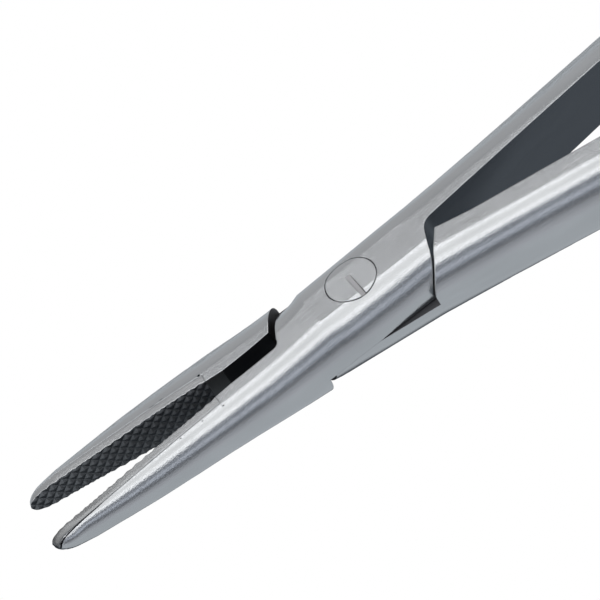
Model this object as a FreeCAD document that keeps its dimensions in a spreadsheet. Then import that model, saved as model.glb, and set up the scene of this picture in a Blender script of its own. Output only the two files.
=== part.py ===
import FreeCAD, Part
import math
import os

import Sketcher
from FreeCAD import Placement, Rotation, Vector

# Surgical needle holder with a lap joint, inserted jaws, ratchet bars and finger rings.
# Each half is drawn closed and in its own frame: the pivot axis is Z, the lap faces meet at
# height zero, the tip points along -X, the half's own jaw lies on the -Y side of the closing
# plane and its shank on the +Y side. The rear half is the same drawing turned over.
# The assembly stands on the back of the joint, with the jaws open as in use.

# Every size has a name, a value in millimetres or degrees, and its meaning.
SIZES = (
    ("opening_angle", 8.6, "angle between the halves at rest"),
    ("joint_thickness", 6.9, "front face to back face at the pivot"),
    ("face_grind", 0.02, "ground off the joint's front and back to make them flat"),
    ("joint_half_width", 5.2, "pivot axis to the side of the joint"),
    ("front_joint_outer", 4.75, "front half: half width of the cheek's far side, front end"),
    ("front_heel_outer", 5.15, "front half: half width of the cheek's far side, rear end"),
    ("rear_joint_outer", 5.25, "rear half: half width of the cheek's far side, front end"),
    ("rear_heel_outer", 5.35, "rear half: half width of the cheek's far side, rear end"),
    ("joint_roundness", 1.06, "depth of the rounded side over half the thickness"),
    ("joint_flat_rear", 5.5, "end of the full joint section towards the rings"),
    ("lap_clearance", 0.05, "running gap between the two cheeks"),
    ("closing_clearance", 0.02, "each jaw face to the closing plane"),
    ("tip_reach", 36.0, "pivot axis to the tip"),
    ("tip_half_width", 1.7, "closing plane to the side of the jaw at the tip"),
    ("tip_thickness", 2.2, "jaw thickness at the tip"),
    ("tip_roundness", 1.15, "rounded side at the tip"),
    ("nose_length", 1.5, "length of the rounded nose, seen from the side"),
    ("nose_height", 2.3, "thickness where that rounding begins"),
    ("tip_corner", 1.95, "rounding of the tip's outer corner, seen from the front"),
    ("tip_corner_radius", 1.06, "radius of that rounding over its length"),
    ("tip_corner_flare", 0.12, "how far its rear end lies outside the tip, over its length"),
    ("nose_at", 33.0, "section just behind the tip, from the pivot"),
    ("nose_half_width", 2.1, "half width there"),
    ("nose_thickness", 2.45, "thickness there"),
    ("nose_roundness", 1.25, "rounded side there"),
    ("fore_at", 28.0, "front third of the jaw, from the pivot"),
    ("fore_half_width", 2.95, "half width there"),
    ("fore_thickness", 3.05, "thickness there"),
    ("fore_roundness", 1.48, "rounded side there"),
    ("middle_at", 19.0, "middle of the jaw, from the pivot"),
    ("middle_half_width", 4.05, "half width there"),
    ("middle_thickness", 4.1, "thickness there"),
    ("middle_roundness", 1.53, "rounded side there"),
    ("heel_at", 12.0, "rear of the jaw, from the pivot"),
    ("front_jaw_heel", 4.85, "half width there, front half"),
    ("rear_jaw_heel", 4.5, "half width there, rear half"),
    ("front_heel_thickness", 5.1, "thickness there, front half"),
    ("rear_heel_thickness", 4.55, "thickness there, rear half"),
    ("heel_roundness", 1.38, "rounded side there"),
    ("throat_at", 8.0, "where the jaw runs into the joint, from the pivot"),
    ("front_jaw_throat", 5.15, "half width there, front half's jaw"),
    ("rear_jaw_throat", 4.62, "half width there, rear half's jaw"),
    ("front_throat_outer", 4.3, "half width there, far side of the front half's cheek"),
    ("rear_throat_outer", 5.1, "half width there, far side of the rear half's cheek"),
    ("front_throat_thickness", 6.1, "thickness there, front half"),
    ("rear_throat_thickness", 5.45, "thickness there, rear half"),
    ("throat_roundness", 1.18, "rounded side there"),
    ("joint_flat_front", 4.5, "end of the full joint section towards the tip"),
    ("neck_at", 12.5, "shank section just behind the joint"),
    ("neck_half_width", 5.7, "half width there, waste side"),
    ("front_neck_outer", 5.55, "pivot plane to the front shank's outer side there"),
    ("rear_neck_outer", 5.9, "pivot plane to the rear shank's outer side there"),
    ("neck_thickness", 6.8, "thickness there"),
    ("neck_roundness", 1.1, "rounded side there"),
    ("upper_at", 31.0, "upper shank section"),
    ("upper_half_width", 7.5, "half width there, waste side"),
    ("front_upper_outer", 7.3, "pivot plane to the front shank's outer side there"),
    ("rear_upper_outer", 7.6, "pivot plane to the rear shank's outer side there"),
    ("upper_thickness", 6.3, "thickness there"),
    ("upper_roundness", 1.16, "rounded side there"),
    ("long_at", 60.0, "middle of the shank"),
    ("long_half_width", 9.8, "pivot plane to the outer side there"),
    ("long_thickness", 5.6, "thickness there"),
    ("long_roundness", 1.12, "rounded side there"),
    ("lower_at", 92.0, "shank section at the ratchet"),
    ("lower_half_width", 12.1, "pivot plane to the outer side there"),
    ("lower_thickness", 4.9, "thickness there"),
    ("lower_roundness", 1.06, "rounded side there"),
    ("shank_end_at", 124.0, "where the shank runs into the finger ring"),
    ("shank_end_half_width", 13.1, "pivot plane to the outer side there"),
    ("shank_end_thickness", 3.0, "thickness there"),
    ("shank_end_roundness", 1.03, "rounded side there"),
    ("front_crotch_y", 0.75, "front half: inner face of the shank at the neck"),
    ("front_upper_y", 2.95, "front half: inner face of the shank at the upper section"),
    ("rear_crotch_y", 0.45, "rear half: inner face of the shank at the neck"),
    ("rear_upper_y", 1.25, "rear half: inner face of the shank at the upper section"),
    ("shank_end_y", 10.5, "inner face of the shank at the finger ring"),
    ("insert_length", 19.8, "length of the jaw insert"),
    ("insert_thickness", 0.95, "insert face to its seat"),
    ("braze_gap", 0.02, "solder gap round the insert"),
    ("land_length", 1.9, "steel land behind the insert"),
    ("front_relief", 0.42, "front half: set-back of the jaw at the throat"),
    ("rear_relief", 0.62, "rear half: set-back of the jaw at the throat"),
    ("tooth_pitch", 1.1, "serration pitch along the jaw"),
    ("tooth_depth", 0.27, "depth of the serration"),
    ("tooth_width", 0.66, "width of one serration groove"),
    ("tooth_slant", 45.0, "angle of the serration to the jaw"),
    ("throat_corner", 0.7, "rounding of the corner between jaw and cheek"),
    ("front_throat_x", 8.65, "front half: cheek's front end at the throat"),
    ("front_cheek_front_x", 6.2, "front half: cheek's front end at its far side"),
    ("rear_throat_x", 8.4, "rear half: cheek's front end at the throat"),
    ("rear_cheek_front_x", 5.6, "rear half: cheek's front end at its far side"),
    ("shoulder_throat_x", 8.95, "jaw shoulder at the throat"),
    ("shoulder_front_x", 7.1, "jaw shoulder at the joint's side"),
    ("cheek_heel_x", 8.1, "rear end of the cheek at the crotch"),
    ("cheek_heel_y", 0.6, "height of that corner below the pivot plane"),
    ("crotch_corner", 1.0, "rounding of the crotch"),
    ("crotch_run", 1.5, "length of that rounding along the shank, over its size"),
    ("crotch_radius", 1.7, "radius of that rounding, over its size"),
    ("crotch_drop", 0.37, "how far the shank's face falls from the neck to that rounding"),
    ("shoulder_drop", 0.45, "how far the shank's face falls from the neck to its shoulder"),
    ("heel_bend_x", 7.28, "start of the curve of the cheek's rear end"),
    ("heel_bend_y", 2.6, "height of its start below the pivot plane"),
    ("cheek_rear_x", 4.25, "rear end of the cheek at the joint's side"),
    ("cheek_rear_pass", 0.2, "how far that end's outline runs past the joint's side"),
    ("cheek_rear_radius", 4.3, "curve of the cheek's rear end"),
    ("shoulder_crotch_x", 8.95, "shank shoulder at the crotch"),
    ("shoulder_gap", 0.37, "cheek end to the other half's shoulder"),
    ("shoulder_rear_x", 5.75, "shank shoulder at the joint's side"),
    ("shoulder_rear_radius", 6.4, "curve of the shank shoulder"),
    ("head_diameter", 5.0, "screw head"),
    ("head_depth", 1.9, "height of the head's cone"),
    ("screw_diameter", 3.2, "screw below its head"),
    ("screw_clearance", 0.05, "running gap round the screw in the front half"),
    ("thread_clearance", 0.02, "gap round the screw in the rear half"),
    ("head_rim", 0.3, "straight rim of the head"),
    ("slot_width", 0.5, "screwdriver slot"),
    ("slot_depth", 0.45, "depth of the slot at the rim of the head"),
    ("slot_reach", 0.65, "how far the slot passes the centre of the head"),
    ("ring_x", 127.6, "pivot axis to the centre of the finger ring"),
    ("ring_y", 23.8, "pivot plane to the centre of the finger ring"),
    ("ring_half_length", 14.5, "ring centre line along the instrument"),
    ("ring_half_width", 12.5, "ring centre line across the instrument"),
    ("ring_wire_width", 4.0, "ring section in its plane"),
    ("ring_wire_height", 4.4, "ring section across its plane"),
    ("ratchet_at", 97.0, "ratchet bar, from the pivot"),
    ("ratchet_width", 5.4, "ratchet bar along the shank"),
    ("ratchet_root_y", 10.0, "root of the bar inside the shank"),
    ("ratchet_reach", 3.9, "end of the bar past the pivot plane"),
    ("ratchet_height", 2.1, "bar from the tooth tips to its outer face"),
    ("ratchet_clearance", 0.12, "tooth tips to the plane between the bars"),
    ("ratchet_pitch", 1.9, "ratchet tooth pitch"),
    ("ratchet_depth", 0.85, "ratchet tooth depth"),
    ("ratchet_teeth", 3, "number of ratchet teeth"),
    ("ratchet_end_land", 0.5, "plain end of the bar before the first tooth"),
    ("ratchet_corner", 1.2, "rounded corners of the bar's end"),
)

# Cross sections of the jaws and of the joint, from the tip to the joint's full section:
# distance from the pivot, name, half width on the jaw's side, half width on the other side.
JAW_STATIONS = (
    ("-tip_reach", "tip", "tip_half_width", "tip_half_width"),
    ("-nose_at", "nose", "nose_half_width", "nose_half_width"),
    ("-fore_at", "fore", "fore_half_width", "fore_half_width"),
    ("-middle_at", "middle", "middle_half_width", "middle_half_width"),
    ("-heel_at", "SIDE_heel", "SIDE_jaw_heel", "SIDE_jaw_heel"),
    ("-throat_at", "SIDE_throat", "SIDE_jaw_throat", "SIDE_throat_outer"),
    ("-joint_flat_front", "joint", "joint_half_width", "SIDE_joint_outer"),
)

# Cross sections of the shank, from the joint to the finger ring.
SHANK_STATIONS = (
    ("joint_flat_rear", "joint", "joint_half_width", "SIDE_heel_outer"),
    ("neck_at", "neck", "neck_half_width", "SIDE_neck_outer"),
    ("upper_at", "upper", "upper_half_width", "SIDE_upper_outer"),
    ("long_at", "long", "long_half_width", "long_half_width"),
    ("lower_at", "lower", "lower_half_width", "lower_half_width"),
    ("shank_end_at", "shank_end", "shank_end_half_width", "shank_end_half_width"),
)

MARGIN = 3.0
DEEP = 20.0

doc = FreeCAD.newDocument("needle_holder")
sheet = doc.addObject("Spreadsheet::Sheet", "sizes")


def fill_sheet():
    """Write each size, its name and its meaning into the sheet."""
    for row, (name, value, meaning) in enumerate(SIZES, start=1):
        sheet.set("A%d" % row, name)
        sheet.set("B%d" % row, str(value))
        sheet.set("C%d" % row, meaning)
        sheet.setAlias("B%d" % row, name)
    doc.recompute()


def bound(expression):
    """Turn the size names in an expression into references to the sheet."""
    words = sorted((name for name, value, meaning in SIZES), key=len, reverse=True)
    parts = []
    token = ""
    for letter in expression + " ":
        if letter.isalnum() or letter == "_" or letter == ".":
            token += letter
            continue
        parts.append("sizes." + token if token in words else token)
        parts.append(letter)
        token = ""
    return "".join(parts).strip()


def size(expression):
    """Value of an expression in the named sizes."""
    return float(sheet.evalExpression(bound(expression).replace("sizes.", "")))


def origin_plane(body, role):
    """One of the body's own origin planes or axes."""
    for item in body.Origin.OriginFeatures:
        if item.Role == role:
            return item
    raise ValueError("no origin feature called " + role)


def new_sketch(body, name, role, offset="0"):
    """Sketch on an origin plane of the body, moved along the plane's normal."""
    sketch = body.newObject("Sketcher::SketchObject", name)
    sketch.AttachmentSupport = [(origin_plane(body, role), "")]
    sketch.MapMode = "FlatFace"
    if offset != "0":
        sketch.setExpression("AttachmentOffset.Base.z", bound(offset))
    return sketch


def pin_point(sketch, geometry, position, across, along):
    """Fix a sketch point by its two distances from the origin."""
    for kind, expression in (("DistanceX", across), ("DistanceY", along)):
        rule = Sketcher.Constraint(kind, -1, 1, geometry, position, size(expression))
        index = sketch.addConstraint(rule)
        sketch.setExpression("Constraints[%d]" % index, bound(expression))


def arc_between(start, end, radius, turn):
    """Arc from start to end with the given radius; turn is 1 for left, -1 for right."""
    chord = end - start
    half = chord.Length / 2
    lift = math.sqrt(max(radius * radius - half * half, 0.0))
    normal = Vector(-chord.y, chord.x, 0).normalize()
    centre = start + chord * 0.5 + normal * (lift * turn)
    first, last = (start, end) if turn > 0 else (end, start)
    angles = [math.atan2(p.y - centre.y, p.x - centre.x) for p in (first, last)]
    if angles[1] < angles[0]:
        angles[1] += 2 * math.pi
    return Part.ArcOfCircle(Part.Circle(centre, Vector(0, 0, 1), radius), angles[0], angles[1])


def closed_outline(sketch, corners, arcs=None):
    """Closed outline through corners given as pairs of expressions.

    arcs maps the number of an edge to its radius and to its turn.
    """
    arcs = arcs or {}
    points = [Vector(size(x), size(y), 0) for x, y in corners]
    count = len(points)
    edges = []
    for number in range(count):
        start, end = points[number], points[(number + 1) % count]
        if number in arcs:
            radius, turn = arcs[number]
            item = sketch.addGeometry(arc_between(start, end, size(radius), turn))
            rule = sketch.addConstraint(Sketcher.Constraint("Radius", item, size(radius)))
            sketch.setExpression("Constraints[%d]" % rule, bound(radius))
            edges.append((item, 1, 2) if turn > 0 else (item, 2, 1))
        else:
            edges.append((sketch.addGeometry(Part.LineSegment(start, end)), 1, 2))
    for number in range(count):
        item, first, last = edges[number]
        after, after_first, after_last = edges[(number + 1) % count]
        sketch.addConstraint(Sketcher.Constraint("Coincident", item, last, after, after_first))
        pin_point(sketch, item, first, *corners[number])


def section(body, name, at, thickness, roundness, near, far):
    """Full cross section: flat front and back, rounded sides, one width to either side."""
    sketch = new_sketch(body, name, "YZ_Plane", at)
    half = "%s / 2" % thickness
    depth = "%s * %s" % (half, roundness)
    near_flat = "%s - %s" % (near, depth)
    far_flat = "%s - %s" % (far, depth)
    b, a, n, f = size(half), size(depth), size(near_flat), size(far_flat)
    top = sketch.addGeometry(Part.LineSegment(Vector(-n, b, 0), Vector(f, b, 0)))
    base = sketch.addGeometry(Part.LineSegment(Vector(f, -b, 0), Vector(-n, -b, 0)))
    right_side = Part.Ellipse(Vector(f + a, 0, 0), Vector(f, b, 0), Vector(f, 0, 0))
    left_side = Part.Ellipse(Vector(-n + a, 0, 0), Vector(-n, b, 0), Vector(-n, 0, 0))
    right = sketch.addGeometry(Part.ArcOfEllipse(right_side, -math.pi / 2, math.pi / 2))
    left = sketch.addGeometry(Part.ArcOfEllipse(left_side, math.pi / 2, 3 * math.pi / 2))
    sketch.exposeInternalGeometry(right)
    right_axis = left + 1
    left_axis = sketch.GeometryCount
    sketch.exposeInternalGeometry(left)
    for rule in (
        ("Coincident", top, 2, right, 2),
        ("Coincident", base, 1, right, 1),
        ("Coincident", top, 1, left, 1),
        ("Coincident", base, 2, left, 2),
        ("Horizontal", top),
        ("Horizontal", right_axis),
        ("Horizontal", left_axis),
        ("Equal", right_axis, left_axis),
        ("PointOnObject", right, 3, -1),
        ("PointOnObject", left, 3, -1),
        ("Vertical", right, 3, right, 2),
        ("Vertical", right, 3, right, 1),
        ("Vertical", left, 3, left, 1),
        ("Vertical", left, 3, left, 2),
    ):
        sketch.addConstraint(Sketcher.Constraint(*rule))
    for kind, first, second, expression in (
        ("DistanceX", (-1, 1), (right, 3), far_flat),
        ("DistanceX", (left, 3), (-1, 1), near_flat),
        ("DistanceY", (-1, 1), (right, 2), half),
        ("DistanceX", (right, 3), (right_axis, 1), depth),
    ):
        rule = Sketcher.Constraint(kind, *first, *second, size(expression))
        index = sketch.addConstraint(rule)
        sketch.setExpression("Constraints[%d]" % index, bound(expression))
    return sketch


def sections(body, name, stations, side):
    """All cross sections of one stretch of a half; a section's roundness is shared."""
    made = []
    for number, (at, station, near, far) in enumerate(stations):
        thickness = station.replace("SIDE", side) + "_thickness"
        if station == "joint":
            thickness = "(joint_thickness + 2 * face_grind)"
        roundness = station.replace("SIDE_", "") + "_roundness"
        label = "%s_%d" % (name, number)
        near, far = near.replace("SIDE", side), far.replace("SIDE", side)
        made.append(section(body, label, at, thickness, roundness, near, far))
    return made


def loft(body, name, sketches):
    """Smooth solid through the given sections; between two of them it is straight."""
    solid = body.newObject("PartDesign::AdditiveLoft", name)
    solid.Profile = (sketches[0], [""])
    solid.Sections = [(sketch, [""]) for sketch in sketches[1:]]
    solid.Ruled = False
    doc.recompute()
    return solid


def pocket(body, name, sketch, upward, depth="joint_thickness"):
    """Cut the sketch's outline through the body, up or down from its plane."""
    before = body.Shape.Volume
    cut = body.newObject("PartDesign::Pocket", name)
    cut.Profile = (sketch, [""])
    cut.Type = "Length"
    cut.setExpression("Length", bound(depth))
    cut.Reversed = upward
    doc.recompute()
    if not body.Shape.Volume < before:
        raise ValueError(name + " removes nothing")
    return cut


def joint_block(body, side):
    """Block round the pivot, as thick and as wide as the closed joint."""
    ends = (JAW_STATIONS[-1], SHANK_STATIONS[0])
    loft(body, "joint_block", sections(body, "joint_section", ends, side))


def jaw_solid(body, side):
    """Jaw and joint block of one half."""
    joint_block(body, side)
    loft(body, "jaw_loft", sections(body, "jaw_section", JAW_STATIONS, side))


def shank_solid(body, side):
    """Tapering shank, still as wide on its waste side."""
    loft(body, "shank_loft", sections(body, "shank_section", SHANK_STATIONS, side))


def grind_faces(body):
    """Grind the joint flat on its front and on its back."""
    for name, height, upward in (
        ("front_face", "joint_thickness / 2", True),
        ("back_face", "-joint_thickness / 2", False),
    ):
        plan = new_sketch(body, name, "XY_Plane", height)
        closed_outline(plan, [
            ("-tip_reach - %s" % MARGIN, "-%s" % DEEP),
            ("shank_end_at + %s" % MARGIN, "-%s" % DEEP),
            ("shank_end_at + %s" % MARGIN, "%s" % DEEP),
            ("-tip_reach - %s" % MARGIN, "%s" % DEEP),
        ])
        pocket(body, name + "_ground", plan, upward)


def round_nose(body):
    """Round the tip: a bullnose seen from the side, and the outer corner in plan."""
    profile = new_sketch(body, "nose_profile", "XZ_Plane")
    ahead = "-tip_reach - nose_length"
    start = "nose_length - tip_reach"
    radius = "nose_length * nose_length / nose_height + nose_height / 4"
    corners = [
        (start, "-nose_height / 2"),
        ("-tip_reach", "0"),
        (start, "nose_height / 2"),
        (start, "2 * nose_height"),
        (ahead, "2 * nose_height"),
        (ahead, "-2 * nose_height"),
        (start, "-2 * nose_height"),
    ]
    closed_outline(profile, corners, {0: (radius, -1), 1: (radius, -1)})
    cut_both_ways(body, "nose_bullnose", profile, "joint_thickness")
    plan = new_sketch(body, "corner_profile", "XY_Plane")
    corners = [
        ("-tip_reach", "tip_corner - tip_half_width"),
        ("tip_corner - tip_reach", "-tip_half_width - tip_corner_flare * tip_corner"),
        ("tip_corner - tip_reach", "-2 * tip_half_width"),
        (ahead, "-2 * tip_half_width"),
        (ahead, "tip_corner - tip_half_width"),
    ]
    closed_outline(plan, corners, {0: ("tip_corner_radius * tip_corner", 1)})
    cut_both_ways(body, "nose_corner", plan, "joint_thickness")


def cut_both_ways(body, name, sketch, length):
    """Cut the sketch's outline through the body to both sides of its plane."""
    cut = body.newObject("PartDesign::Pocket", name)
    cut.Profile = (sketch, [""])
    cut.Type = "Length"
    cut.Midplane = True
    cut.setExpression("Length", bound(length))
    doc.recompute()
    return cut


def jaw_face_corners():
    """Jaw face of a half, from outside the tip to the throat: seat, land and relief."""
    seat = "-insert_thickness - closing_clearance - braze_gap"
    insert_end = "insert_length + braze_gap - tip_reach"
    return [
        ("-tip_reach - %s" % MARGIN, seat),
        (insert_end, seat),
        (insert_end, "-closing_clearance"),
        ("insert_length + land_length - tip_reach", "-closing_clearance"),
    ]


def shank_face_corners(side):
    """Inner face of a half's shank, from the finger ring to the neck."""
    return [
        ("shank_end_at + %s" % MARGIN, "shank_end_y"),
        ("shank_end_at", "shank_end_y"),
        ("upper_at", side + "_upper_y"),
        ("neck_at", side + "_crotch_y"),
    ]


def cut_cheek_level(body, side):
    """Above the lap plane: free the jaw face, the cheek's two ends and the shank's face."""
    front = new_sketch(body, "front_of_cheek", "XY_Plane", "lap_clearance / 2")
    corner = "-%s_throat_x" % side
    corners = jaw_face_corners()
    bend = len(corners)
    corners += [
        (corner + " - throat_corner", "-%s_relief" % side),
        (corner, "throat_corner - %s_relief" % side),
        ("-%s_cheek_front_x" % side, "joint_half_width"),
        ("-%s_cheek_front_x" % side, "%s" % DEEP),
        ("-tip_reach - %s" % MARGIN, "%s" % DEEP),
    ]
    closed_outline(front, corners, {bend: ("throat_corner", 1)})
    pocket(body, "free_front", front, True)
    rear = new_sketch(body, "rear_of_cheek", "XY_Plane", "lap_clearance / 2")
    corners = shank_face_corners(side)
    bend = len(corners)
    corners += [
        ("cheek_heel_x + crotch_run * crotch_corner", "%s_crotch_y - crotch_drop" % side),
        ("cheek_heel_x", "-cheek_heel_y"),
        ("heel_bend_x", "-heel_bend_y"),
        ("cheek_rear_x", "-joint_half_width - cheek_rear_pass"),
        ("cheek_rear_x", "-%s" % DEEP),
        ("shank_end_at + %s" % MARGIN, "-%s" % DEEP),
    ]
    arcs = {bend: ("crotch_radius * crotch_corner", 1), bend + 2: ("cheek_rear_radius", -1)}
    closed_outline(rear, corners, arcs)
    pocket(body, "free_rear", rear, True)


def cut_recess_level(body, side):
    """Below the lap plane: the recess that takes the other half's cheek."""
    recess = new_sketch(body, "recess", "XY_Plane", "lap_clearance / 2")
    corners = jaw_face_corners()
    corners += [
        ("-shoulder_throat_x", "-%s_relief" % side),
        ("-shoulder_front_x", "-joint_half_width"),
        ("-shoulder_front_x", "-%s" % DEEP),
        ("shank_end_at + %s" % MARGIN, "-%s" % DEEP),
    ]
    corners += shank_face_corners(side)
    corners += [
        ("shoulder_crotch_x", "%s_crotch_y - shoulder_drop" % side),
        ("heel_bend_x + shoulder_gap", "heel_bend_y"),
        ("shoulder_rear_x", "joint_half_width"),
        ("shoulder_rear_x", "%s" % DEEP),
        ("-tip_reach - %s" % MARGIN, "%s" % DEEP),
    ]
    bend = len(corners) - 4
    closed_outline(recess, corners, {bend: ("shoulder_rear_radius", 1)})
    pocket(body, "recess_cut", recess, False)


def set_half_axes(sketch, oval, longer, shorter):
    """Give an ellipse its two half axes; its axis lines follow it in the sketch."""
    for line, expression in ((oval + 1, longer), (oval + 2, shorter)):
        rule = Sketcher.Constraint("Distance", line, 2 * size(expression))
        index = sketch.addConstraint(rule)
        sketch.setExpression("Constraints[%d]" % index, bound("2 * (%s)" % expression))


def finger_ring(body):
    """Oval ring: an oval wire section carried round an oval path."""
    path = new_sketch(body, "ring_path", "XY_Plane")
    centre = Vector(size("ring_x"), size("ring_y"), 0)
    long_half, short_half = size("ring_half_length"), size("ring_half_width")
    far = centre + Vector(long_half, 0, 0)
    side = centre + Vector(0, short_half, 0)
    oval = path.addGeometry(Part.Ellipse(far, side, centre))
    path.exposeInternalGeometry(oval)
    path.addConstraint(Sketcher.Constraint("Horizontal", oval + 1))
    pin_point(path, oval, 3, "ring_x", "ring_y")
    set_half_axes(path, oval, "ring_half_length", "ring_half_width")
    wire = new_sketch(body, "ring_wire", "XZ_Plane", "-ring_y")
    middle = Vector(size("ring_x + ring_half_length"), 0, 0)
    wide, high = size("ring_wire_width / 2"), size("ring_wire_height / 2")
    top, edge = middle + Vector(0, high, 0), middle + Vector(wide, 0, 0)
    round_wire = wire.addGeometry(Part.Ellipse(top, edge, middle))
    wire.exposeInternalGeometry(round_wire)
    wire.addConstraint(Sketcher.Constraint("Vertical", round_wire + 1))
    pin_point(wire, round_wire, 3, "ring_x + ring_half_length", "0")
    set_half_axes(wire, round_wire, "ring_wire_height / 2", "ring_wire_width / 2")
    doc.recompute()
    ring = body.newObject("PartDesign::AdditivePipe", "ring")
    ring.Profile = (wire, [""])
    ring.Spine = (path, [""])
    doc.recompute()
    return ring


def ratchet_bar(body):
    """Bar across the gap between the shanks, with saw teeth facing the other bar."""
    plan = new_sketch(body, "bar_plan", "XY_Plane", "ratchet_clearance")
    far = "ratchet_at + ratchet_width"
    corners = [
        ("ratchet_at", "ratchet_root_y"),
        ("ratchet_at", "-ratchet_reach + ratchet_corner"),
        ("ratchet_at + ratchet_corner", "-ratchet_reach"),
        (far + " - ratchet_corner", "-ratchet_reach"),
        (far, "-ratchet_reach + ratchet_corner"),
        (far, "ratchet_root_y"),
    ]
    closed_outline(plan, corners, {1: ("ratchet_corner", 1), 3: ("ratchet_corner", 1)})
    bar = body.newObject("PartDesign::Pad", "ratchet_bar")
    bar.Profile = (plan, [""])
    bar.setExpression("Length", bound("ratchet_height"))
    doc.recompute()
    profile = new_sketch(body, "bar_tooth", "YZ_Plane", "ratchet_at + ratchet_width / 2")
    start = "-ratchet_reach + ratchet_end_land"
    corners = [
        (start, "0"),
        (start + " + ratchet_pitch", "0"),
        (start + " + ratchet_pitch", "ratchet_clearance"),
        (start, "ratchet_clearance + ratchet_depth"),
    ]
    closed_outline(profile, corners)
    tooth = body.newObject("PartDesign::Pocket", "ratchet_tooth")
    tooth.Profile = (profile, [""])
    tooth.Midplane = True
    tooth.setExpression("Length", bound("2 * ratchet_width"))
    doc.recompute()
    repeat(body, "ratchet_teeth_row", [tooth], "Y_Axis", "ratchet_pitch", "ratchet_teeth")


def repeat(body, name, features, axis, pitch, count):
    """Row of equal features along an origin axis of the body."""
    row = body.newObject("PartDesign::LinearPattern", name)
    row.Originals = features
    row.Direction = (origin_plane(body, axis), [""])
    row.setExpression("Occurrences", bound(count))
    row.setExpression("Length", bound("(%s - 1) * (%s)" % (count, pitch)))
    doc.recompute()
    body.Tip = row
    doc.recompute()
    return row


def turned_cut(body, name, corners):
    """Cut revolved round the pivot axis; corners are radius and height."""
    profile = new_sketch(body, name + "_profile", "XZ_Plane")
    closed_outline(profile, corners)
    cut = body.newObject("PartDesign::Groove", name)
    cut.Profile = (profile, [""])
    cut.ReferenceAxis = (profile, ["V_Axis"])
    cut.Angle = 360
    doc.recompute()
    return cut


def screw_outline(gap):
    """Radius and height along the screw, widened by a gap."""
    return [
        ("screw_diameter / 2 + %s" % gap, "-joint_thickness"),
        ("screw_diameter / 2 + %s" % gap, "joint_thickness / 2 - head_depth"),
        ("head_diameter / 2 + %s" % gap, "joint_thickness / 2 - head_rim"),
        ("head_diameter / 2 + %s" % gap, "joint_thickness"),
    ]


def place(body, turned_over):
    """Stand a body on the back of the joint, opened to its side of the closing plane."""
    swing = size("opening_angle / 2")
    if turned_over:
        turn = Rotation(Vector(0, 0, 1), -swing).multiply(Rotation(Vector(1, 0, 0), 180))
    else:
        turn = Rotation(Vector(0, 0, 1), swing)
    body.Placement = Placement(Vector(0, 0, size("joint_thickness / 2")), turn)


def new_body(name):
    """Empty body whose label is also its file name."""
    body = doc.addObject("PartDesign::Body", name)
    body.Label = name
    return body


def make_half(name, side):
    """One half: jaw, joint cheek, shank, finger ring and ratchet bar in one piece."""
    body = new_body(name)
    jaw_solid(body, side)
    shank_solid(body, side)
    grind_faces(body)
    cut_cheek_level(body, side)
    cut_recess_level(body, side)
    round_nose(body)
    finger_ring(body)
    ratchet_bar(body)
    if side == "front":
        bore = [("0", "-joint_thickness")] + screw_outline("screw_clearance")
        bore += [("0", "joint_thickness")]
    else:
        radius = "screw_diameter / 2 + thread_clearance"
        bore = [("0", "-joint_thickness"), (radius, "-joint_thickness")]
        bore += [(radius, "joint_thickness"), ("0", "joint_thickness")]
    turned_cut(body, "screw_bore", bore)
    place(body, side == "rear")
    return body


def make_insert(name, side):
    """Hard insert brazed into a jaw, with crossed serrations on its face."""
    body = new_body(name)
    jaw_solid(body, side)
    outside = new_sketch(body, "round_the_insert", "XY_Plane", "-joint_thickness")
    ahead = "-tip_reach - %s" % MARGIN
    behind = "joint_flat_rear + %s" % MARGIN
    back = "-closing_clearance - insert_thickness"
    corners = [
        (ahead, "-closing_clearance"),
        ("insert_length - tip_reach", "-closing_clearance"),
        ("insert_length - tip_reach", back),
        (ahead, back),
        (ahead, "-%s" % DEEP),
        (behind, "-%s" % DEEP),
        (behind, "%s" % DEEP),
        (ahead, "%s" % DEEP),
    ]
    closed_outline(outside, corners)
    pocket(body, "free_insert", outside, True, "2 * joint_thickness")
    round_nose(body)
    grooves = []
    for way, slope in (("rising", 1), ("falling", -1)):
        profile = new_sketch(body, way + "_groove", "XY_Plane")
        first = "-tip_reach + tooth_pitch / 2"
        half = "tooth_width / 2 / sin(tooth_slant)"
        corners = [
            ("%s - %s" % (first, half), "-closing_clearance"),
            (first, "-closing_clearance - tooth_depth"),
            ("%s + %s" % (first, half), "-closing_clearance"),
            (first, "tooth_depth"),
        ]
        closed_outline(profile, corners)
        groove = body.newObject("PartDesign::Pocket", way + "_serration")
        groove.Profile = (profile, [""])
        groove.Midplane = True
        groove.UseCustomVector = True
        lean = math.radians(size("tooth_slant"))
        groove.Direction = Vector(slope * math.cos(lean), 0, math.sin(lean))
        groove.AlongSketchNormal = False
        groove.setExpression("Length", bound("2 * joint_thickness"))
        doc.recompute()
        grooves.append(groove)
    count = "floor((insert_length + middle_thickness / 2) / tooth_pitch)"
    repeat(body, "serrations", grooves, "X_Axis", "tooth_pitch", count)
    place(body, side == "rear")
    return body


def make_screw(name):
    """Pivot screw: countersunk slotted head, both ends flush with the joint."""
    body = new_body(name)
    joint_block(body, "front")
    outline = screw_outline("0")
    outline += [("%s" % DEEP, "joint_thickness"), ("%s" % DEEP, "-joint_thickness")]
    turned_cut(body, "turned", outline)
    grind_faces(body)
    slot = new_sketch(body, "slot_profile", "YZ_Plane")
    top = "joint_thickness / 2"
    rim = "-head_diameter / 2"
    closed_outline(slot, [
        ("slot_reach", top),
        (rim, top + " - slot_depth"),
        (rim + " - slot_depth", top + " - slot_depth"),
        (rim + " - slot_depth", top + " + slot_depth"),
        ("slot_reach", top + " + slot_depth"),
    ])
    cut = body.newObject("PartDesign::Pocket", "slot")
    cut.Profile = (slot, [""])
    cut.Midplane = True
    cut.setExpression("Length", bound("slot_width"))
    doc.recompute()
    place(body, False)
    return body


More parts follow.
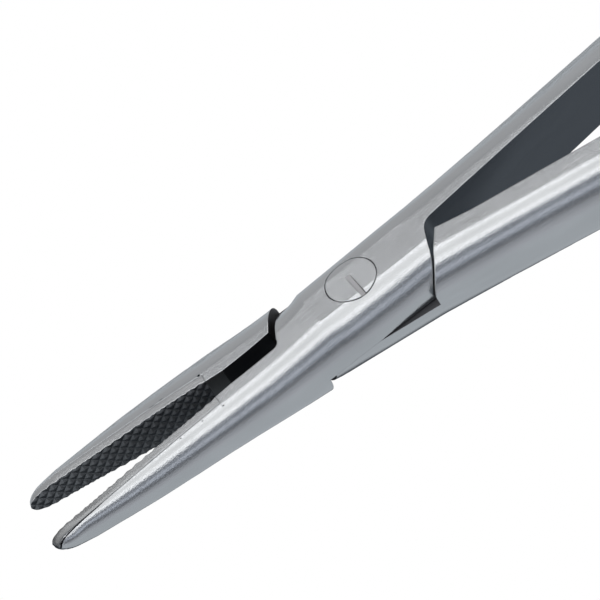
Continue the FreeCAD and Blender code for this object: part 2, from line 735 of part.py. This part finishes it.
fill_sheet()
pieces = [
    make_half("front_half", "front"),
    make_half("rear_half", "rear"),
    make_insert("front_insert", "front"),
    make_insert("rear_insert", "rear"),
    make_screw("pivot_screw"),
]
doc.recompute()
for item in doc.Objects:
    if "Invalid" in item.State or "Error" in item.State:
        raise ValueError(item.Name + " did not build")
os.makedirs("parts", exist_ok=True)
for piece in pieces:
    if piece.Shape.isNull() or not piece.Shape.isValid():
        raise ValueError(piece.Label + " has no valid shape")
for piece in pieces:
    piece.Shape.exportStep("parts/%s.step" % piece.Label)
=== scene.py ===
import math

import bmesh
import bpy
import numpy as np
from mathutils import Matrix, Vector


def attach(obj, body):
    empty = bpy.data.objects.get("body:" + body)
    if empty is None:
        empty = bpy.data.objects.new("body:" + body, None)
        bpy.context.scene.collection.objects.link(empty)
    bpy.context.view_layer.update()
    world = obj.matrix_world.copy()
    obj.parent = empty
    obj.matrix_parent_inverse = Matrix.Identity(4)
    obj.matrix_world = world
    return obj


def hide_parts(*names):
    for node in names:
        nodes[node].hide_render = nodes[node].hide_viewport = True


# Surgical needle holder on a plain white table, seen from above its jaws.
# The frame is in metres: X runs along the instrument with the tips at -X, Z is the pivot axis
# and the table is at zero. Sizes below are in millimetres and degrees unless they say metres.

MM = 0.001
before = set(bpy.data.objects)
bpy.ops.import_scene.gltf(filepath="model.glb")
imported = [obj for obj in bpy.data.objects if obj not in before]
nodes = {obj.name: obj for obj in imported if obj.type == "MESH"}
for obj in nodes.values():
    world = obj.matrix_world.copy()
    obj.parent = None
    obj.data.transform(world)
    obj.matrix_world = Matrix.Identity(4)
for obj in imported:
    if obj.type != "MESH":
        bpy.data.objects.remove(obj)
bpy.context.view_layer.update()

# The instrument as the solids have it. A half's own drawing is closed: the pivot axis is Z, the
# lap faces meet at height zero, its jaw lies on the -Y side and its shank on the +Y side.
JOINT_THICKNESS = 6.9
OPENING = 8.6
HALF_ANGLE = OPENING / 2
HEADINGS = {"front": HALF_ANGLE, "rear": -HALF_ANGLE}
TIP_AT = -36.0
FACE_LEVEL = -0.02
TOOTH_DEPTH = 0.27
TOOTH_ROOT = FACE_LEVEL - TOOTH_DEPTH - 0.01
INSERT_END = -16.25
LAND_END = -14.32

# Cross sections of a half: distance from the pivot, half width on the jaw's side, half width on
# the other side, thickness, and depth of the rounded side over half the thickness. They are the
# solids' sections, but for the depth at 31, which is larger: the bright band on the shank lies
# further in.
JAW_TIP = ((TIP_AT, 1.7, 1.7, 2.2, 1.15), (-33, 2.1, 2.1, 2.45, 1.25),
           (-28, 2.95, 2.95, 3.05, 1.48), (-19, 4.05, 4.05, 4.1, 1.53))
JAW_HEEL = {
    "front": ((-12, 4.85, 4.85, 5.1, 1.38), (-8, 5.15, 4.3, 6.1, 1.18)),
    "rear": ((-12, 4.5, 4.5, 4.55, 1.38), (-8, 4.62, 5.1, 5.45, 1.18)),
}
JOINT = {
    "front": ((-4.5, 5.2, 4.75, 6.94, 1.06), (5.5, 5.2, 5.15, 6.94, 1.06)),
    "rear": ((-4.5, 5.2, 5.25, 6.94, 1.06), (5.5, 5.2, 5.35, 6.94, 1.06)),
}
NECK = {
    "front": ((12.5, 5.7, 5.55, 6.8, 1.1), (31, 7.5, 7.3, 6.3, 1.38)),
    "rear": ((12.5, 5.7, 5.9, 6.8, 1.1), (31, 7.5, 7.6, 6.3, 1.38)),
}
SHANK_END = ((60, 9.8, 9.8, 5.6, 1.12), (92, 12.1, 12.1, 4.9, 1.06), (124, 13.1, 13.1, 3.0, 1.03))

# How steeply the polish turns over the rounded side, along the instrument: over one is a
# tighter corner than the lofted form, under one a softer one.
CORNER_POLISH = ((-34, 1.3), (-14, 1.38), (-8, 1.1), (-3, 0.85), (3, 0.86), (8, 0.95), (15, 1.15),
                 (25, 1.45), (124, 1.4))

# Step for slopes, how far a corner's normal may turn to the lofted form's, and which faces are
# ground flat, by normal and by height.
SLOPE_STEP = 0.05
POLISH_REACH = 22.0
FLAT_FACE = 0.9999
GROUND_LEVEL = JOINT_THICKNESS / 2 - 0.001

# Rounded nose of the jaws: where it begins, its half axes, the power of its form, how fast it
# sets in, and which corners take its normals.
NOSE_START = -32.4
NOSE_AXES = (3.6, 1.97, 1.22)
NOSE_POWER = 2.2
NOSE_ONSET = 2.5
NOSE_SKIN = 0.93
NOSE_FACING = 0.6

# Worn teeth: share of their depth that is left, and the least share and its length at the tip.
TOOTH_KEEP = 0.5
TIP_TOOTH_KEEP = 0.15
TIP_WEAR = 2.5
TOOTH_FACING = 0.35

# Facets: longest edge and the stretch along X where edges are split, for halves and inserts.
STEEL_FACETS = (0.8, -37, 112)
INSERT_FACETS = (0.5, -37, -30)
SPLIT_ROUNDS = 6

# Recesses of a half that get painted shade: the throat between land and joint, the ends of the
# cheek, and the lap.
THROAT_END = -6.0
THROAT_LOW = -3.0
LAND_LOW = -0.2
THROAT_HIGH = 1.0
CHEEK_END = (-9.7, -5.3)
LAP = (-9.7, 9.7)
LAP_LEVEL = 0.06

# How far a face's normal leans along an axis to face it, to be flat across it, or to slant.
FACING = 0.5
FLAT_ON = 0.9
SLANTING = 0.3
WALL_FACING = 0.7

# The screw's slot: half width, end, depth and rim.
SLOT_HALF_WIDTH = 0.26
SLOT_END = 0.66
SLOT_DEPTH = 0.6
SLOT_RIM = 0.03

# Dark marks and painted shade on each half's front face: middle along and across in its own
# heading, half sizes.
# On the front half they begin with painted shade in the gap round the screw head and end with the
# solder line.
MARKS_AND_SHADE = {
    "front": (((0, 0), (2.59, 2.59)), ((-16.13, -1.51), (0.13, 0.09)),
              ((-18.45, -1.31), (0.10, 0.05)), ((-20.98, -1.22), (0.12, 0.05)),
              ((-33.5, -1.03), (3.6, 0.07))),
    "rear": (((-16.46, 1.13), (0.17, 0.12)), ((-20.57, 1.2), (0.22, 0.04)),
             ((-21.58, 1.12), (0.30, 0.04)), ((-20.9, 0.95), (0.14, 0.03))),
}
MARK_AND_SHADE_TONE = (0.03, 0.03, 0.035, 1)
MARK_RAGGED = (0.2, 0.1)
MARK_SCALE = 6000

# Metal: scales of the grain per metre, along and across the brushing, with its detail; depth of
# the grain and radius of the worn edges; and how uneven roughness and tone are.
STREAKS = ((350, 5200, 5200), 3)
SPECKS = ((8500, 8500, 8500), 2)
CLOUDS = ((120, 500, 500), 3)
GRAIN_DEPTH = 0.012
WORN_EDGE = 0.15
WORN_SAMPLES = 6
UNEVEN_ROUGHNESS = 0.12
UNEVEN_TONE = 0.1

# Tones of the metals. The side of the front half's insert is darker towards the tip.
STEEL = (0.60, 0.615, 0.63)
# The two tones below are painted shade, for the land behind the insert and for the recesses.
SHADED_LAND_STEEL = (0.37, 0.37, 0.36)
RECESS_SHADE = (0.10, 0.10, 0.105)
# Painted shade on the floor of the screw's slot.
SLOT_FLOOR_SHADE = (0.36, 0.36, 0.37)
FRONT_INSERT_SIDE = (0.54, 0.55, 0.56)
REAR_INSERT_SIDE = (0.57, 0.58, 0.59)
INSERT_FACE = (0.26, 0.27, 0.28)
TIP_TONE = 0.42
TIP_TONE_FROM = -35
TIP_TONE_TO = -22

# The table: its painted shade under the instrument and its tone beyond it, half width of the strip
# of painted shade at the pivot and its growth towards the rings, its soft edge, and the table's
# half length and level.
TABLE_SHADE = (0.085, 0.096, 0.11, 1)
TABLE_PALE = (0.52, 0.55, 0.575, 1)
SHADE_HALF_WIDTH = 3.4
SHADE_GROWTH = 0.14
SHADE_EDGE = 1.5
TABLE_HALF = 2000
TABLE_LEVEL = -0.4

# Studio round the length of the instrument: angle from straight up towards the camera's
# side, and the brightness met there. Softboxes with brighter rims overhead, a strip in
# front, a grey room, and a dark table under the edge of the picture.
STUDIO = (
    (-180, 0.30), (-120, 0.40), (-90, 0.50), (-62, 0.50), (-48, 0.41), (-40, 0.44),
    (-35, 2.70), (-31, 1.30), (-26, 1.07), (-8, 1.05), (-1, 1.30), (3, 2.40), (7, 1.15),
    (11, 0.55), (18, 0.17), (27, 0.34), (35, 0.90), (42, 0.38), (52, 0.13), (66, 0.42),
    (90, 0.56), (110, 0.58), (180, 0.30),
)
STUDIO_PEAK = 3.0
STUDIO_FADING = 0.45

# How blue the light is up to each angle: neutral softboxes, a cooler room in front.
COOLNESS = ((-40, 0.010), (10, 0.0), (59, 0.08), (180, 0.045))

# Camera fitted to the picture: pixels per millimetre at the screw head, the view's elevation,
# roll and yaw, the screw head's place in the picture, the distance, and clipping in metres.
PIXELS = 600
SCALE = 11.024
ELEVATION = math.radians(45.708)
ROLL = math.radians(33.533)
YAW = math.radians(-1.804)
HEAD_AT = (350.41, 279.36)
DISTANCE = 300.0
SENSOR = 36.0
CLIP = (0.01, 10)

# Places of the sockets that a colour Mix node uses.
MIX_SHARE, MIX_FIRST, MIX_SECOND, MIX_RESULT = 0, 6, 7, 2


def add_node(tree, kind, inputs=None, **settings):
    """Shader node with its settings; an input is given as a value or as a socket to link."""
    made = tree.nodes.new("ShaderNode" + kind)
    for key, value in settings.items():
        setattr(made, key, value)
    for key, value in (inputs or {}).items():
        if isinstance(value, bpy.types.NodeSocket):
            tree.links.new(value, made.inputs[key])
        else:
            made.inputs[key].default_value = value
    return made


def calculate(tree, operation, *values):
    """Output of a Math node with numbers or sockets as its inputs."""
    return add_node(tree, "Math", dict(enumerate(values)), operation=operation).outputs[0]


def mixed(tree, share, first, second):
    """Colour between two colours."""
    inputs = {MIX_SHARE: share, MIX_FIRST: first, MIX_SECOND: second}
    return add_node(tree, "Mix", inputs, data_type="RGBA").outputs[MIX_RESULT]


def object_place(tree):
    """Socket with the place on the object, in metres."""
    return add_node(tree, "TexCoord").outputs["Object"]


def turned_place(tree, heading):
    """Place on the object with the heading turned back onto X."""
    turn = {"Vector": object_place(tree), "Rotation": (0, 0, -math.radians(heading))}
    return add_node(tree, "Mapping", turn).outputs["Vector"]


def base_colour(tree):
    """The shader's colour input and what is linked to it."""
    socket = tree.nodes["Principled BSDF"].inputs["Base Color"]
    return socket, socket.links[0].from_socket


def grain_noise(tree, heading, scale, detail):
    """Noise in object space, drawn out along the given heading."""
    drawn = add_node(tree, "Mapping", {"Vector": turned_place(tree, heading), "Scale": scale})
    noise = {"Vector": drawn.outputs["Vector"], "Scale": 1, "Detail": detail}
    return add_node(tree, "TexNoise", noise).outputs["Fac"]


def oval(tree, across, up, centre, radii):
    """One inside a small oval round a point, zero outside."""
    parts = []
    for value, middle, radius in zip((across, up), centre, radii):
        shifted = calculate(tree, "SUBTRACT", value, middle * MM)
        scaled = calculate(tree, "DIVIDE", shifted, radius * MM)
        parts.append(calculate(tree, "MULTIPLY", scaled, scaled))
    return calculate(tree, "LESS_THAN", calculate(tree, "ADD", *parts), 1.0)


def mark_and_shade_front(made, heading, marks):
    """Darken a material in small ragged ovals on the front face: marks, and on the front half
    painted shade round the screw head.
    """
    tree = made.node_tree
    ragged = add_node(tree, "TexNoise", {"Vector": object_place(tree), "Scale": MARK_SCALE})
    jitter = add_node(tree, "VectorMath", {
        0: ragged.outputs["Color"],
        1: (MARK_RAGGED[0] * MM, MARK_RAGGED[1] * MM, 0),
        2: turned_place(tree, heading),
    }, operation="MULTIPLY_ADD")
    parts = add_node(tree, "SeparateXYZ", {"Vector": jitter.outputs["Vector"]})
    x, y, z = (parts.outputs[axis] for axis in "XYZ")
    dark = 0.0
    for centre, radii in marks:
        place = (centre[0] + MARK_RAGGED[0] / 2, centre[1] + MARK_RAGGED[1] / 2)
        dark = calculate(tree, "ADD", oval(tree, x, y, place, radii), dark)
    front = calculate(tree, "GREATER_THAN", z, JOINT_THICKNESS / 2 * MM)
    dark = calculate(tree, "MINIMUM", calculate(tree, "MULTIPLY", dark, front), 1.0)
    socket, colour = base_colour(tree)
    tree.links.new(mixed(tree, dark, colour, MARK_AND_SHADE_TONE), socket)


def darken_towards_tip(made):
    """Darken a material evenly towards the tip."""
    tree = made.node_tree
    parts = add_node(tree, "SeparateXYZ", {"Vector": object_place(tree)})
    share = add_node(tree, "MapRange", {
        "Value": parts.outputs["X"], "From Min": TIP_TONE_FROM * MM, "From Max": TIP_TONE_TO * MM,
        "To Min": TIP_TONE, "To Max": 1,
    })
    socket, colour = base_colour(tree)
    scaled = {0: colour, "Scale": share.outputs["Result"]}
    scaled = add_node(tree, "VectorMath", scaled, operation="SCALE")
    tree.links.new(scaled.outputs["Vector"], socket)


def brushed(name, base, rough, streak, speckle, heading=0):
    """Satin metal: brushed along its heading, with a fine blasted speckle and worn edges."""
    made = bpy.data.materials.new(name)
    made.use_nodes = True
    tree = made.node_tree
    shader = tree.nodes["Principled BSDF"]
    shader.inputs["Metallic"].default_value = 1
    worn = add_node(tree, "Bevel", {"Radius": WORN_EDGE * MM}, samples=WORN_SAMPLES)
    streaks = calculate(tree, "MULTIPLY", grain_noise(tree, heading, *STREAKS), streak)
    specks = calculate(tree, "MULTIPLY", grain_noise(tree, heading, *SPECKS), speckle)
    cloud = grain_noise(tree, heading, *CLOUDS)
    bump = add_node(tree, "Bump", {
        "Strength": 1, "Distance": GRAIN_DEPTH * MM,
        "Height": calculate(tree, "ADD", streaks, specks), "Normal": worn.outputs["Normal"],
    })
    tree.links.new(bump.outputs["Normal"], shader.inputs["Normal"])
    uneven = calculate(tree, "MULTIPLY", calculate(tree, "SUBTRACT", cloud, 0.5), UNEVEN_ROUGHNESS)
    tree.links.new(calculate(tree, "ADD", uneven, rough), shader.inputs["Roughness"])
    darker = (*[c * (1 - UNEVEN_TONE) for c in base], 1)
    lighter = (*[min(1, c * (1 + UNEVEN_TONE)) for c in base], 1)
    tree.links.new(mixed(tree, cloud, darker, lighter), shader.inputs["Base Color"])
    return made


def local_frame(side):
    """Matrix from the frame to a half's own drawing, in millimetres."""
    if side == "front":
        turn = Matrix.Rotation(-math.radians(HALF_ANGLE), 4, "Z")
    else:
        turned_over = Matrix.Rotation(math.radians(180), 4, "X")
        turn = turned_over @ Matrix.Rotation(math.radians(HALF_ANGLE), 4, "Z")
    lap_level = Matrix.Translation((0, 0, -JOINT_THICKNESS / 2))
    return turn @ lap_level @ Matrix.Scale(1 / MM, 4)


def copied(name, materials, body):
    """Copy of a CAD node's mesh as its own piece, riding on its body in the node's place."""
    piece = name + "_finish"
    mesh = nodes[name].data.copy()
    mesh.name = piece
    mesh.materials.clear()
    for item in materials:
        mesh.materials.append(item)
    made = bpy.data.objects.new(piece, mesh)
    bpy.context.scene.collection.objects.link(made)
    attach(made, body)
    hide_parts(name)
    return made


def turn_of(matrix):
    """The turn in a matrix, without its scale."""
    return np.array(matrix.to_3x3().normalized())


def moved(places, matrix):
    """Places moved by a matrix."""
    full = np.array(matrix)
    return places @ full[:3, :3].T + full[:3, 3]


def unit(vectors):
    """Vectors at length one."""
    return vectors / np.maximum(np.linalg.norm(vectors, axis=1, keepdims=True), 1e-9)


def between(values, low, high):
    """Which values lie between two."""
    return (values > low) & (values < high)


def face_places(mesh, matrix):
    """Face centres and face normals in a half's own drawing, by coordinate."""
    centres = moved(np.array([p.center[:] for p in mesh.polygons]), matrix)
    normals = np.array([p.normal[:] for p in mesh.polygons]) @ turn_of(matrix).T
    return centres.T, normals.T


def corner_places(mesh, matrix):
    """Vertices in a half's own drawing, and each face corner's vertex."""
    spots = np.zeros(len(mesh.vertices) * 3)
    mesh.vertices.foreach_get("co", spots)
    index = np.zeros(len(mesh.loops), np.int32)
    mesh.loops.foreach_get("vertex_index", index)
    return moved(spots.reshape(-1, 3), matrix), index


def set_materials(mesh, numbers):
    """Give each face its material by number."""
    mesh.polygons.foreach_set("material_index", numbers.astype(np.int32))


def smooth_curve(stations, values):
    """Natural cubic through the values at the stations, as a function of the distance."""
    x, v = np.array(stations, float), np.array(values, float)
    gap = np.diff(x)
    count = len(x)
    rows, right = np.zeros((count, count)), np.zeros(count)
    rows[0, 0] = rows[-1, -1] = 1
    for i in range(1, count - 1):
        rows[i, i - 1:i + 2] = gap[i - 1], 2 * (gap[i - 1] + gap[i]), gap[i]
        right[i] = 6 * ((v[i + 1] - v[i]) / gap[i] - (v[i] - v[i - 1]) / gap[i - 1])
    bend = np.linalg.solve(rows, right)

    def curve(at):
        i = np.clip(np.searchsorted(x, at) - 1, 0, count - 2)
        t, h = at - x[i], gap[i]
        first = (v[i + 1] - v[i]) / h - h * (2 * bend[i] + bend[i + 1]) / 6
        return v[i] + t * first + t * t * bend[i] / 2 + t ** 3 * (bend[i + 1] - bend[i]) / (6 * h)
    return curve


def slope(curve, at):
    """Slope of a curve along the instrument."""
    return (curve(at + SLOPE_STEP) - curve(at - SLOPE_STEP)) / (2 * SLOPE_STEP)


def section_normals(places, side):
    """Normals of the lofted form at places in a half's own drawing, and which are known."""
    x, y, z = places.T
    result = np.zeros_like(places)
    jaw = (*JAW_TIP, *JAW_HEEL[side], JOINT[side][0])
    shank = (JOINT[side][1], *NECK[side], *SHANK_END)
    for stretch in (jaw, JOINT[side], shank):
        at, near, far, thick, depth = np.array(stretch).T
        sag = thick / 2 * depth
        height = smooth_curve(at, thick / 2)
        round_depth = smooth_curve(at, sag)
        flats = (smooth_curve(at, near - sag), smooth_curve(at, far - sag))
        part = (x >= at[0]) & (x <= at[-1])
        for sign, flat in zip((-1, 1), flats):
            here = part & (sign * y > flat(x))
            u = sign * y[here] - flat(x[here])
            a, b = round_depth(x[here]), height(x[here])
            da, db, dc = (slope(curve, x[here]) for curve in (round_depth, height, flat))
            along = -(u * dc / a ** 2 + u ** 2 * da / a ** 3 + z[here] ** 2 * db / b ** 3)
            across = sign * u / a ** 2 * np.interp(x[here], *zip(*CORNER_POLISH))
            result[here] = np.stack([along, across, z[here] / b ** 2], axis=1)
        here = part & (y >= -flats[0](x)) & (y <= flats[1](x))
        db = slope(height, x[here])
        result[here] = np.stack([-db, np.zeros_like(db), np.sign(z[here])], axis=1)
    return unit(result), np.linalg.norm(result, axis=1) > 0


def refine(mesh, limit, start, end):
    """Split long edges between two distances along X; returns the first corner normals."""
    normals = np.zeros(len(mesh.loops) * 3, np.float32)
    mesh.corner_normals.foreach_get("vector", normals)
    kept = mesh.attributes.new("first_normal", "FLOAT_VECTOR", "CORNER")
    kept.data.foreach_set("vector", normals)
    work = bmesh.new()
    work.from_mesh(mesh)
    for _ in range(SPLIT_ROUNDS):
        long = [e for e in work.edges if e.calc_length() > limit * MM
                and all(start * MM < v.co.x < end * MM for v in e.verts)]
        if not long:
            break
        bmesh.ops.subdivide_edges(
            work, edges=long, cuts=1, use_single_edge=True, use_grid_fill=True)
        bmesh.ops.triangulate(work, faces=[f for f in work.faces if len(f.verts) > 3])
    work.to_mesh(mesh)
    work.free()
    normals = np.zeros(len(mesh.loops) * 3, np.float32)
    mesh.attributes["first_normal"].data.foreach_get("vector", normals)
    mesh.attributes.remove(mesh.attributes["first_normal"])
    return unit(normals.reshape(-1, 3))


def round_tip(mesh, matrix, normals):
    """Round the nose of a jaw into an oval form, and its normals with it."""
    spots, index = corner_places(mesh, matrix)
    turn = turn_of(matrix)
    outward = np.array([-1, -1, 1])
    offset = (spots - (NOSE_START, 0, 0)) * outward / NOSE_AXES
    reach = (np.abs(offset) ** NOSE_POWER).sum(axis=1) ** (1 / NOSE_POWER)
    ahead = np.clip(offset[:, 0] * NOSE_ONSET, 0, 1)
    pull = 1 - (1 - 1 / np.maximum(reach, 1)) * ahead
    drawn_in = offset * pull[:, None] * NOSE_AXES * outward + (NOSE_START, 0, 0)
    changed = (ahead > 0) & (reach > 1)
    spots[changed] = drawn_in[changed]
    mesh.vertices.foreach_set("co", moved(spots, matrix.inverted()).ravel())
    steep = np.sign(offset) * np.abs(offset) ** (NOSE_POWER - 1) / NOSE_AXES
    steep = unit(steep * outward)[index]
    mine = normals @ turn.T
    near = (reach[index] > NOSE_SKIN) & (ahead[index] > 0)
    near &= (mine * steep).sum(axis=1) > NOSE_FACING
    share = ahead[index][near][:, None]
    mine[near] = mine[near] * (1 - share) + steep[near] * share
    return unit(mine) @ turn


def smooth_steel(mesh, side):
    """Finer facets, and the corner normals of the lofted form."""
    normals = refine(mesh, *STEEL_FACETS)
    matrix = local_frame(side)
    spots, index = corner_places(mesh, matrix)
    exact, known = section_normals(spots[index], side)
    mine = normals @ turn_of(matrix).T
    ground = (np.abs(mine[:, 2]) > FLAT_FACE) & (np.abs(spots[index][:, 2]) > GROUND_LEVEL)
    close = (mine * exact).sum(axis=1) > math.cos(math.radians(POLISH_REACH))
    fits = known & ~ground & close
    mine[fits] = exact[fits]
    return round_tip(mesh, matrix, mine @ turn_of(matrix))


def dress_half(side):
    """A half with satin steel outside, painted shade in its recesses and on the land behind its
    insert.
    """
    made = copied(side + "_half", [steel[side], recess_shade, shaded_land_steel], side)
    normals = smooth_steel(made.data, side)
    (x, y, z), (nx, ny, nz) = face_places(made.data, local_frame(side))
    # Painted shade: the throat, the cheek ends and the lap take the recess tone, and the land
    # behind the insert a darker tone than the steel.
    closing = (ny > FACING) & (y < THROAT_HIGH)
    shaded = closing & between(x, LAND_END, THROAT_END) & (y > THROAT_LOW)
    shaded |= (np.abs(nx) > SLANTING) & between(x, *CHEEK_END)
    shaded &= np.abs(nz) < FACING
    shaded |= (np.abs(nz) > FLAT_ON) & between(x, *LAP) & (np.abs(z) < LAP_LEVEL)
    land = closing & between(x, INSERT_END, LAND_END) & (y > LAND_LOW)
    set_materials(made.data, shaded * 1 + land * 2)
    made.data.normals_split_custom_set(normals.tolist())


def dress_insert(side):
    """An insert with a steel side, a dark biting face and worn, shallow teeth."""
    made = copied(side + "_insert", [insert_side[side], insert_face], side)
    mesh = made.data
    matrix = local_frame(side)
    normals = refine(mesh, *INSERT_FACETS)
    back = matrix.inverted()
    for vertex in mesh.vertices:
        place = matrix @ vertex.co
        if place.y > TOOTH_ROOT:
            keep = TOOTH_KEEP * min(1.0, max(TIP_TOOTH_KEEP, (place.x - TIP_AT) / TIP_WEAR))
            place.y = FACE_LEVEL + (place.y - FACE_LEVEL) * keep
            vertex.co = back @ place
    (_, y, _), (_, ny, _) = face_places(mesh, matrix)
    set_materials(mesh, (ny > TOOTH_FACING) & (y > TOOTH_ROOT))
    mesh.normals_split_custom_set(round_tip(mesh, matrix, normals).tolist())


def dress_screw():
    """The pivot screw with painted shade in its slot, on the floor and darker on the walls."""
    made = copied("pivot_screw", [screw_steel, slot_floor_shade, recess_shade], "rear")
    (x, y, z), (nx, _, _) = face_places(made.data, local_frame("front"))
    top = JOINT_THICKNESS / 2
    slot = (np.abs(x) < SLOT_HALF_WIDTH) & (y < SLOT_END) & (z > top - SLOT_DEPTH)
    walls = slot & (np.abs(nx) > WALL_FACING)
    bottom = slot & ~walls & (z < top - SLOT_RIM)
    set_materials(made.data, bottom * 1 + walls * 2)


def show_white(tree, lit, white, output):
    """Let the camera see the white shader and everything else the lit one."""
    path = add_node(tree, "LightPath")
    blend = add_node(tree, "MixShader", {
        "Fac": path.outputs["Is Camera Ray"], 1: lit.outputs[0], 2: white.outputs[0],
    })
    tree.links.new(blend.outputs["Shader"], tree.nodes[output].inputs["Surface"])


def table_material():
    """White to the camera. To the steel a pale table, with painted shade where the instrument
    covers it.
    """
    made = bpy.data.materials.new("table_white")
    made.use_nodes = True
    tree = made.node_tree
    tree.nodes.remove(tree.nodes["Principled BSDF"])
    parts = add_node(tree, "SeparateXYZ", {"Vector": object_place(tree)})
    behind = calculate(tree, "MAXIMUM", parts.outputs["X"], 0.0)
    growth = calculate(tree, "MULTIPLY", behind, SHADE_GROWTH)
    edge = calculate(tree, "ADD", growth, SHADE_HALF_WIDTH * MM)
    across = calculate(tree, "ABSOLUTE", parts.outputs["Y"])
    step = add_node(tree, "MapRange", {
        "Value": calculate(tree, "SUBTRACT", across, edge),
        "From Min": 0.0, "From Max": SHADE_EDGE * MM,
    }, interpolation_type="SMOOTHSTEP")
    tone = mixed(tree, step.outputs["Result"], TABLE_SHADE, TABLE_PALE)
    lit = add_node(tree, "Emission", {"Color": tone})
    show_white(tree, lit, add_node(tree, "Emission"), "Material Output")
    return made


def table():
    """The table under the instrument."""
    corners = [(-1, -1), (1, -1), (1, 1), (-1, 1)]
    mesh = bpy.data.meshes.new("table")
    places = [Vector((x * TABLE_HALF, y * TABLE_HALF, TABLE_LEVEL)) * MM for x, y in corners]
    mesh.from_pydata(places, [], [(0, 1, 2, 3)])
    mesh.materials.append(table_material())
    made = bpy.data.objects.new("table", mesh)
    bpy.context.scene.collection.objects.link(made)
    return made


def studio_ramp(tree, share):
    """Colour of the studio by the share of a full turn."""
    ramp = add_node(tree, "ValToRGB", {"Fac": share})
    ramp.color_ramp.interpolation = "EASE"
    stops = ramp.color_ramp.elements
    for number, (degrees, _) in enumerate(STUDIO):
        place = degrees / 360 + 0.5
        stop = stops[number] if number < 2 else stops.new(place)
        stop.position = place
    for stop, (degrees, level) in zip(sorted(stops, key=lambda s: s.position), STUDIO):
        tone = level / STUDIO_PEAK
        cool = next(tint for end, tint in COOLNESS if degrees <= end)
        stop.color = (tone * (1 - cool), tone * (1 - cool / 3), min(1, tone * (1 + cool)), 1)
    return ramp.outputs["Color"]


def studio():
    """The light: a world that changes round X only, dimmer towards the instrument's ends."""
    made = bpy.data.worlds.new("studio")
    bpy.context.scene.world = made
    made.use_nodes = True
    tree = made.node_tree
    seen = add_node(tree, "TexCoord").outputs["Generated"]
    split = add_node(tree, "SeparateXYZ", {"Vector": seen})
    toward_camera = calculate(tree, "MULTIPLY", split.outputs["Y"], -1.0)
    angle = calculate(tree, "ARCTAN2", toward_camera, split.outputs["Z"])
    share = calculate(tree, "ADD", calculate(tree, "DIVIDE", angle, 2 * math.pi), 0.5)
    sideways = calculate(tree, "MULTIPLY", split.outputs["X"], split.outputs["X"])
    loss = calculate(tree, "MULTIPLY", sideways, STUDIO_FADING)
    fading = calculate(tree, "SUBTRACT", 1.0, loss)
    lit = tree.nodes["Background"]
    tree.links.new(studio_ramp(tree, share), lit.inputs["Color"])
    tree.links.new(calculate(tree, "MULTIPLY", fading, STUDIO_PEAK), lit.inputs["Strength"])
    white = add_node(tree, "Background", {"Color": (1, 1, 1, 1)})
    show_white(tree, lit, white, "World Output")


def place_camera():
    """The camera, so that the screw head lies where the picture has it."""
    yaw = Matrix.Rotation(YAW, 3, "Z")
    toward = yaw @ Vector((0, -math.sin(ELEVATION), math.cos(ELEVATION)))
    level = yaw @ Vector((1, 0, 0))
    rise = toward.cross(level)
    right = math.cos(ROLL) * level - math.sin(ROLL) * rise
    up = math.sin(ROLL) * level + math.cos(ROLL) * rise
    head = Vector((0, 0, JOINT_THICKNESS))
    off_right = (HEAD_AT[0] - PIXELS / 2) / SCALE
    off_up = -(HEAD_AT[1] - PIXELS / 2) / SCALE
    place = (head - off_right * right - off_up * up + DISTANCE * toward) * MM
    lens = bpy.data.cameras.new("camera")
    lens.sensor_width = SENSOR
    lens.lens = SENSOR * SCALE * DISTANCE / PIXELS
    lens.clip_start, lens.clip_end = CLIP
    camera = bpy.data.objects.new("camera", lens)
    bpy.context.scene.collection.objects.link(camera)
    turn = Matrix((right, up, toward)).transposed()
    camera.matrix_world = Matrix.Translation(place) @ turn.to_4x4()
    bpy.context.scene.camera = camera


steel = {}
for side, heading in HEADINGS.items():
    steel[side] = brushed("steel_" + side + "_half", STEEL, rough=0.16, streak=0.4, speckle=1.35,
                          heading=heading)
    mark_and_shade_front(steel[side], heading, MARKS_AND_SHADE[side])
insert_side = {
    "front": brushed("insert_side_front", FRONT_INSERT_SIDE, rough=0.25, streak=0.2, speckle=0.9,
                     heading=HEADINGS["front"]),
    "rear": brushed("insert_side_rear", REAR_INSERT_SIDE, rough=0.22, streak=0.2, speckle=0.9,
                    heading=HEADINGS["rear"]),
}
darken_towards_tip(insert_side["front"])
insert_face = brushed("hard_metal_face", INSERT_FACE, rough=0.38, streak=0.3, speckle=0.5)
recess_shade = brushed("painted_recess_shade", RECESS_SHADE, rough=0.5, streak=0.3, speckle=0.5)
shaded_land_steel = brushed("shaded_land_steel", SHADED_LAND_STEEL, rough=0.3, streak=0.3, speckle=0.9)
screw_steel = brushed("screw_steel_finish", STEEL, rough=0.2, streak=0.3, speckle=1.5)
slot_floor_shade = brushed("slot_floor_shade", SLOT_FLOOR_SHADE, rough=0.4, streak=0.3, speckle=0.5)

for side in HEADINGS:
    dress_half(side)
    dress_insert(side)
dress_screw()
floor = table()
studio()
place_camera()
bpy.context.scene.view_settings.view_transform = "Standard"
